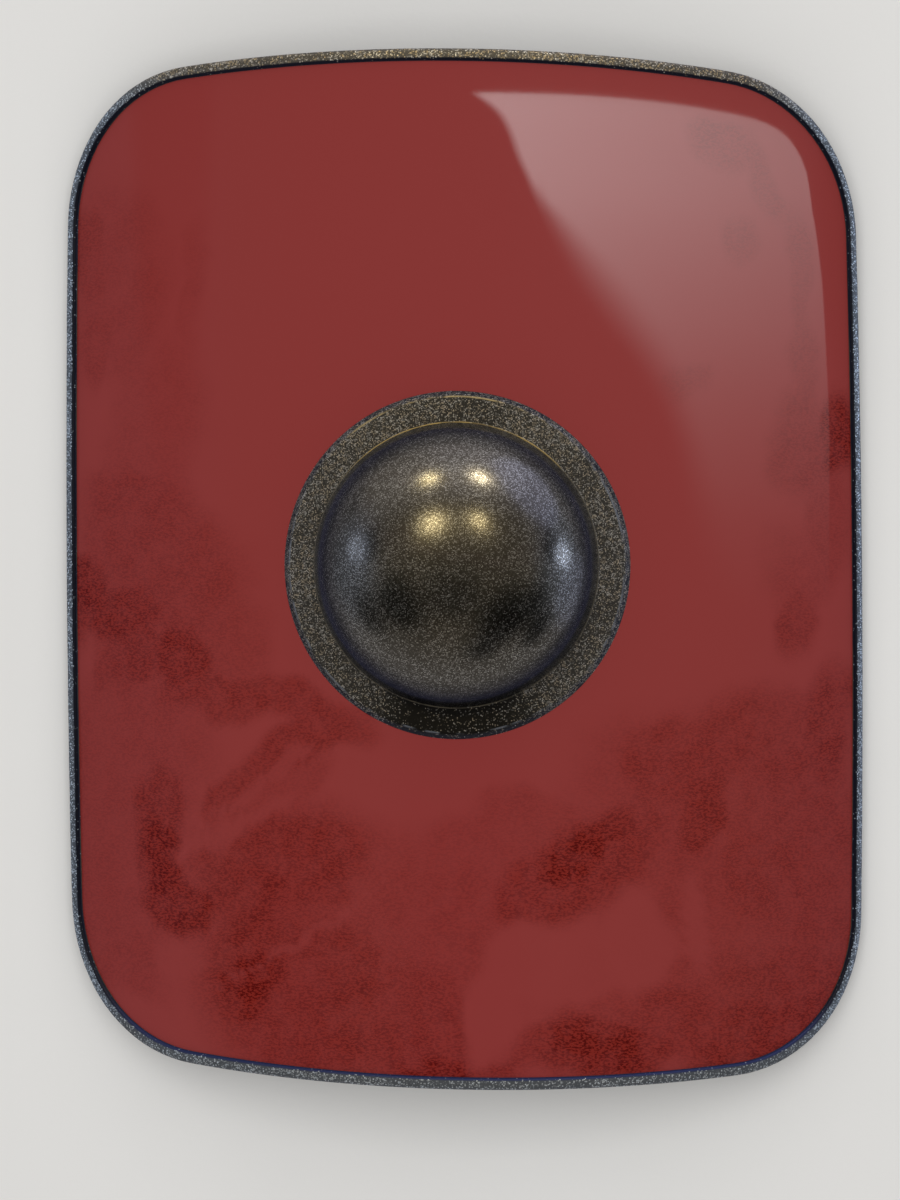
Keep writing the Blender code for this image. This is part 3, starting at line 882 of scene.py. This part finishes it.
def speckled_rim():
    """Gunmetal brushed on black, speckled gold along the top, a painted bluish sheen along the sides and
    bottom.
    """
    nodes = MaterialNodes("speckled_rim")
    brushed = nodes.painted("brushed")
    low = nodes.painted("low")
    # Painted bluish sheen along the sides, and weaker along the bottom
    blue_sheen = nodes.math("MAXIMUM", nodes.painted("blue_sheen"), nodes.math("MULTIPLY", low, 0.75))
    streaks = nodes.noise(24, 3.0, 0.6)
    share = nodes.math("MULTIPLY", brushed, nodes.ramp(streaks, 0.35, 0.65, 0.56, 0.92))
    share = nodes.math("MULTIPLY", share, nodes.ramp(low, 0.0, 1.0, 1.0, 0.80))
    gold = (0.74, 0.58, 0.34)
    silver = (0.82, 0.78, 0.70)
    blue_sheen_metal = (0.74, 0.86, 0.98)
    metal = nodes.mix(nodes.ramp(nodes.noise(260, 1.0), 0.40, 0.60), gold, silver)
    # Flecks and dark paint take the painted bluish sheen
    metal = nodes.mix(blue_sheen, metal, blue_sheen_metal)
    dark = nodes.mix(blue_sheen, (0.108, 0.097, 0.082), (0.120, 0.138, 0.162))
    # The dark inner wall: black paint that also stands in for its shade, bluer along the bottom as painted
    # sheen
    navy = nodes.mix(low, (0.002, 0.004, 0.020), (0.014, 0.025, 0.105))
    dark = nodes.mix(brushed, navy, dark)
    colour, fleck = flecked(nodes, dark, share, metal, RIM_FLECKS)
    foot = nodes.math("MULTIPLY", nodes.painted("foot"), nodes.ramp(streaks, 0.40, 0.60, 0.2, 0.7))
    colour = nodes.mix(foot, colour, (0.13, 0.11, 0.06))
    normal = nodes.bump(nodes.noise(620, 2.0), 0.0004, 0.45)
    return nodes.finish(colour, nodes.ramp(fleck, 0.0, 1.0, 0.46, 0.34), normal, metallic=0.5)


def speckled_boss():
    """Dark gunmetal full of fine flecks: brownish and dull on the flange, glossy on the dome."""
    nodes = MaterialNodes("speckled_boss")
    dome = nodes.painted("dome")
    flange_shade = nodes.painted("flange_shade")
    top_glint = nodes.painted("top_glint")
    streaks = nodes.noise(30, 3.0, 0.6)
    share = nodes.ramp(nodes.noise(22, 3.0), 0.35, 0.68, 0.55, 0.90)
    # Painted shade on the flange's top and bottom: fewer bright flecks and a darker paint
    share = nodes.math("MULTIPLY", share, nodes.ramp(flange_shade, 0.0, 1.0, 1.0, 0.20))
    hue = nodes.ramp(nodes.noise(230, 1.0), 0.40, 0.60)
    metal = nodes.mix(hue, (0.56, 0.48, 0.37), (0.60, 0.58, 0.55))
    metal = nodes.mix(dome, metal, (0.485, 0.468, 0.440))
    dark = nodes.mix(flange_shade, (0.044, 0.041, 0.037), (0.008, 0.007, 0.006))
    # The flange's outer wall gets a darker navy as painted shade
    dark = nodes.mix(nodes.painted("side"), dark, (0.016, 0.018, 0.028))
    dark = nodes.mix(dome, dark, (0.118, 0.108, 0.094))
    colour, fleck = flecked(nodes, dark, share, metal, BOSS_FLECKS)
    # The dark band at the dome's foot is painted shade, with a painted bluish sheen towards the sides
    shade_band = nodes.mix(nodes.painted("blue_sheen"), (0.030, 0.030, 0.040), (0.050, 0.058, 0.090))
    colour = nodes.mix(nodes.painted("shade_band"), colour, shade_band)
    # The flange's edge line is drybrushed paint, gold along the top as a painted glint and bluish elsewhere
    # as a painted sheen
    edge = nodes.mix(top_glint, (0.20, 0.22, 0.26), (0.46, 0.36, 0.18))
    broken = nodes.ramp(nodes.noise(60, 3.0), 0.46, 0.62)
    colour = nodes.mix(nodes.math("MULTIPLY", nodes.painted("edge"), broken), colour, edge)
    # The foot line is a painted ridge line, gold along the top as a painted glint
    foot = nodes.mix(top_glint, (0.140, 0.120, 0.085), (0.50, 0.36, 0.13))
    broken = nodes.ramp(streaks, 0.40, 0.56, 0.35, 1.0)
    colour = nodes.mix(nodes.math("MULTIPLY", nodes.painted("foot"), broken), colour, foot)
    roughness = nodes.ramp(dome, 0.0, 1.0, 0.46, 0.235)
    metallic = nodes.ramp(dome, 0.0, 1.0, 0.50, nodes.ramp(fleck, 0.0, 1.0, 0.96, 0.80))
    normal = nodes.bump(nodes.noise(700, 2.0), 0.0003, nodes.ramp(dome, 0.0, 1.0, 0.40, 0.05))
    return nodes.finish(colour, roughness, normal, metallic=metallic)


def dark_boss():
    """The unbrushed dark paint on the boss's back and inside."""
    nodes = MaterialNodes("dark_boss")
    blue_sheen = nodes.painted("blue_sheen")
    streaks = nodes.noise(34, 3.0, 0.6)
    # bluish towards the sides as a painted sheen
    shade = nodes.mix(blue_sheen, (0.012, 0.014, 0.026), (0.022, 0.030, 0.060))
    dark = nodes.mix(nodes.ramp(streaks, 0.35, 0.65), (0.008, 0.009, 0.016), shade)
    share = nodes.ramp(streaks, 0.3, 0.7, 0.15, 0.35)
    colour = flecked(nodes, dark, share, (0.16, 0.16, 0.17), INSIDE_FLECKS)[0]
    normal = nodes.bump(nodes.noise(500, 2.0), 0.0003, 0.4)
    return nodes.finish(colour, nodes.ramp(streaks, 0.2, 0.8, 0.55, 0.65), normal, shine=0.08)


def grip_leather():
    """Dark brown leather, polished where the hand holds it."""
    nodes = MaterialNodes("grip_leather")
    held = nodes.painted("held")
    tone = nodes.noise(35, 4.0, 0.6)
    colour = nodes.mix(tone, (0.018, 0.010, 0.007), (0.050, 0.028, 0.017))
    pores = nodes.cells(520)
    wrinkles = nodes.noise(240, 3.0, 0.6)
    height = nodes.math("ADD", pores, nodes.math("MULTIPLY", wrinkles, 0.8))
    dull = nodes.math("SUBTRACT", tone, nodes.math("MULTIPLY", held, 0.25))
    roughness = nodes.ramp(dull, 0.2, 0.8, 0.42, 0.68)
    return nodes.finish(colour, roughness, nodes.bump(height, 0.0004, 0.8))


def pale_floor():
    nodes = MaterialNodes("pale_floor")
    colour = nodes.mix(nodes.noise(4.0, 3.0), (0.70, 0.69, 0.67), (0.74, 0.73, 0.71))
    return nodes.finish(colour, 0.75, nodes.bump(nodes.noise(160, 3.0), 0.0006, 0.3))


# Studio

def make_floor():
    mesh_data = bmesh.new()
    bmesh.ops.create_circle(mesh_data, cap_ends=True, segments=96, radius=FLOOR_RADIUS)
    floor = add_object("floor", mesh_data, [pale_floor()])
    floor.visible_glossy = False
    return floor


def make_camera():
    """The photograph's camera: nearly straight above the shield, its top edge up."""
    target = Vector((0.0, 0.0, FACE_LEVEL))
    back = Vector((
        math.sin(CAMERA_YAW) * math.cos(CAMERA_PITCH),
        math.sin(CAMERA_PITCH),
        math.cos(CAMERA_YAW) * math.cos(CAMERA_PITCH),
    ))
    up_hint = Vector((math.sin(CAMERA_ROLL), math.cos(CAMERA_ROLL), 0.0))
    right = up_hint.cross(back).normalized()
    up = back.cross(right)
    data = bpy.data.cameras.new("camera")
    data.lens = CAMERA_LENS
    data.sensor_width = 36.0
    data.shift_x, data.shift_y = CAMERA_SHIFT
    data.clip_start = 0.05
    data.clip_end = 100.0
    camera = bpy.data.objects.new("camera", data)
    turn = Matrix((right, up, back)).transposed()
    camera.matrix_world = Matrix.Translation(target + CAMERA_DISTANCE * back) @ turn.to_4x4()
    bpy.context.scene.collection.objects.link(camera)
    bpy.context.scene.camera = camera
    return camera


def area_light(name, place, aim, size, strength, lit, colour=(1.0, 1.0, 1.0), glossy=False):
    """A soft lamp that faces aim; strength is its brightness, a white card's being 1. A glossy one
    is round and shows only as a shine, the others light the pieces without showing."""
    data = bpy.data.lights.new(name, "AREA")
    data.shape = "ELLIPSE" if glossy else "RECTANGLE"
    data.size, data.size_y = size
    area = size[0] * size[1] * (math.pi / 4 if glossy else 1.0)
    data.energy = strength * area * math.pi
    data.color = colour
    lamp = bpy.data.objects.new(name, data)
    lamp.location = place
    lamp.rotation_mode = "QUATERNION"
    lamp.rotation_quaternion = (place - aim).to_track_quat("Z", "Y")
    lamp.visible_camera = False
    lamp.visible_glossy = glossy
    lamp.visible_diffuse = not glossy
    bpy.context.scene.collection.objects.link(lamp)
    lamp.light_linking.receiver_collection = lit


def light_group(name, pieces):
    """A collection that says which pieces a lamp lights."""
    group = bpy.data.collections.new(name)
    for piece in pieces:
        group.objects.link(piece)
    return group


def mirrored(place, out, eye):
    """Direction in which the eye sees, mirrored at a place whose surface faces out."""
    view = (eye - place).normalized()
    return 2 * out.dot(view) * out - view


def dome_place(x, y):
    """Place of the dome's outside, x and y from the boss's middle."""
    share = math.hypot(x, y) / DOME_RADIUS
    n = BOSS_FLANGE_THICKNESS + DOME_HEIGHT * (1 - share**DOME_FULLNESS) ** (1 / DOME_FULLNESS)
    return boss_place(math.hypot(x, y), n, math.atan2(y, x))


def dome_mirror(x, y, eye):
    """Place of the dome's outside and the direction that the eye sees mirrored in it."""
    step = DOME_SLOPE_STEP
    place = dome_place(x, y)
    along_x = dome_place(x + step, y) - dome_place(x - step, y)
    along_y = dome_place(x, y + step) - dome_place(x, y - step)
    return place, mirrored(place, along_x.cross(along_y).normalized(), eye)


def make_dome_lamps(camera, lit):
    """Round warm lamps and cool windows, hung where the camera sees them in the dome."""
    eye = camera.matrix_world.translation
    for name, (x, y), size, strength, colour in DOME_LAMPS:
        place, towards = dome_mirror(x, y, eye)
        lamp_place = place + DOME_LAMP_DISTANCE * towards
        area_light(name, lamp_place, place, size, strength, lit, colour, glossy=True)


def softbox_place(u, v, eye):
    """Where the softbox has to be for the camera to see it mirrored at this place of the face."""
    place = bend(u, v, 0.0)
    out = Vector((math.sin(u / BEND_RADIUS), 0.0, math.cos(u / BEND_RADIUS)))
    return place + SOFTBOX_DISTANCE * mirrored(place, out, eye)


def smooth_rows(rows, steps):
    """Rows of numbers on smooth curves through the given rows."""
    ends = [rows[0]] + list(rows) + [rows[-1]]
    smooth = []
    for before, first, second, after in zip(ends, ends[1:], ends[2:], ends[3:]):
        for step in range(steps):
            t = step / steps
            row = []
            for a, b, c, d in zip(before, first, second, after):
                squared = 2 * a - 5 * b + 4 * c - d
                cubed = 3 * (b - c) + d - a
                row.append(b + 0.5 * t * (c - a + t * (squared + t * cubed)))
            smooth.append(row)
    return smooth + [list(rows[-1])]


def softbox_glow():
    """Light as strong as the mesh's glow says, that hides nothing behind it."""
    material = bpy.data.materials.new("softbox_glow")
    material.use_nodes = True
    material.node_tree.nodes.clear()
    nodes = Nodes(material.node_tree)
    output = nodes.tree.nodes.new("ShaderNodeOutputMaterial")
    emission = nodes.tree.nodes.new("ShaderNodeEmission")
    clear = nodes.tree.nodes.new("ShaderNodeBsdfTransparent")
    both = nodes.tree.nodes.new("ShaderNodeAddShader")
    nodes.link(nodes.math("MULTIPLY", nodes.painted("glow"), SOFTBOX_STRENGTH), emission.inputs["Strength"])
    nodes.link(emission.outputs[0], both.inputs[0])
    nodes.link(clear.outputs[0], both.inputs[1])
    nodes.link(both.outputs[0], output.inputs["Surface"])
    return material


def make_softbox(camera, lit):
    """A long curved softbox over the upper right, seen only as a shine on the red skin."""
    eye = camera.matrix_world.translation
    mesh_data = bmesh.new()
    glow = mesh_data.verts.layers.float.new("glow")
    grid = []
    top = SOFTBOX_ROWS[0][0]
    for v, left, full, right, brightness in smooth_rows(SOFTBOX_ROWS, SOFTBOX_ROW_STEPS):
        row = []
        droop = max(0.0, v - SOFTBOX_SHOULDER) / (top - SOFTBOX_SHOULDER)
        for i in range(SOFTBOX_COLUMNS + 1):
            share = 1 - (1 - i / SOFTBOX_COLUMNS) ** SOFTBOX_CROWDING
            u = left + (right - left) * share
            lower = droop * sum(depth * share**power for depth, power in SOFTBOX_DROOP)
            vert = mesh_data.verts.new(softbox_place(u, v - lower, eye))
            dimmer = 1 - SOFTBOX_DIMMER_RIGHT * (u - SOFTBOX_DIMMER_START) / SOFTBOX_DIMMER_LENGTH
            vert[glow] = brightness * dimmer * smooth_step(left, full, u)
            row.append(vert)
        grid.append(row)
    for first, second in zip(grid, grid[1:]):
        for i in range(SOFTBOX_COLUMNS):
            mesh_data.faces.new((first[i], first[i + 1], second[i + 1], second[i]))
    softbox = add_object("softbox", mesh_data, [softbox_glow()])
    softbox.visible_camera = False
    softbox.visible_diffuse = False
    softbox.visible_shadow = False
    softbox.visible_transmission = False
    softbox.light_linking.receiver_collection = lit


def spot(nodes, direction, aim, inner, outer):
    """How near the world's direction is to an aim: 1 within inner degrees of it, 0 past outer."""
    dot = nodes.tree.nodes.new("ShaderNodeVectorMath")
    dot.operation = "DOT_PRODUCT"
    nodes.link(direction, dot.inputs[0])
    dot.inputs[1].default_value = aim.normalized()
    return nodes.ramp(dot.outputs["Value"], math.cos(math.radians(outer)), math.cos(math.radians(inner)))


def make_world(camera):
    """Even light all round; what shines in the pieces is dim overhead and lighter low down."""
    world = bpy.data.worlds.new("studio")
    world.use_nodes = True
    bpy.context.scene.world = world
    nodes = Nodes(world.node_tree)
    direction = nodes.tree.nodes.new("ShaderNodeTexCoord").outputs["Generated"]
    turn = camera.matrix_world.to_3x3()
    eye = camera.matrix_world.translation
    shine = SHINE_AROUND
    for aim, inner, outer, colour in SHINE_PLACES:
        shine = nodes.mix(spot(nodes, direction, turn @ Vector(aim), inner, outer), shine, colour)
    for (x, y), inner, outer, colour in DOME_SHADES:
        aim = dome_mirror(x, y, eye)[1]
        shine = nodes.mix(spot(nodes, direction, aim, inner, outer), shine, colour)
    path = nodes.tree.nodes.new("ShaderNodeLightPath")
    light = nodes.mix(path.outputs["Is Diffuse Ray"], shine, SKY_LIGHT)
    light = nodes.mix(path.outputs["Is Camera Ray"], light, BACKDROP)
    nodes.link(light, nodes.tree.nodes["Background"].inputs["Color"])


def make_lights(lit_board, lit_boss):
    """The two soft lamps that light the pieces: overhead for the board, from the top for the boss."""
    middle = Vector((0.0, 0.0, FACE_LEVEL))
    lamps = (("overhead", OVERHEAD_LAMP, lit_board), ("key", KEY_LAMP, lit_boss))
    for name, (place, size, strength), lit in lamps:
        area_light(name, middle + Vector(place), middle, size, strength, lit)


bpy.context.scene.view_settings.view_transform = "Standard"
board = make_board()
board.visible_glossy = False        # the boss would show it as a red ring at the dome's foot
rim = make_rim()
boss = make_boss()
grip = make_grip()
floor = make_floor()
camera = make_camera()
lit_board = light_group("lit_board", (board, grip, floor))
lit_boss = light_group("lit_boss", (boss, rim))
make_world(camera)
make_lights(lit_board, lit_boss)
make_dome_lamps(camera, lit_boss)
make_softbox(camera, light_group("lit_by_softbox", (board,)))
